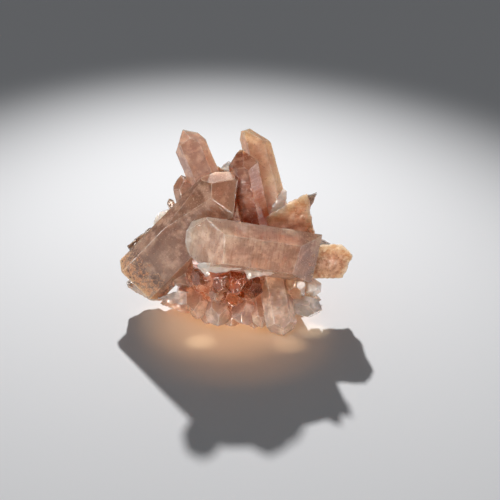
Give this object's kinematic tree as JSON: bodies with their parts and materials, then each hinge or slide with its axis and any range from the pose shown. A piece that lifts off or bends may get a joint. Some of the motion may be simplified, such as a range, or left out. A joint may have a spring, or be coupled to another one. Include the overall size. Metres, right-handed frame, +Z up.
{
  "type": "hematoid quartz crystal cluster",
  "caption": "Natural cluster of brown iron-stained quartz crystals with pointed, flat-faced prisms over a crust of small crystals, on a flat broken base.",
  "frame": {"origin": "centre of the cluster's bounding box, at the height of the flat broken base that it rests on", "axes": "+X to the right along the cluster's length, +Y to its back, +Z up from the base to the crystal tips"},
  "size_m": [0.1116, 0.0678, 0.0862],
  "materials": {
    "quartz": "natural glassy crystal faces, cloudy brown with iron oxide"
  },
  "bodies": {
    "root": {"quartz_cluster": "quartz"}
  },
  "joints": []
}
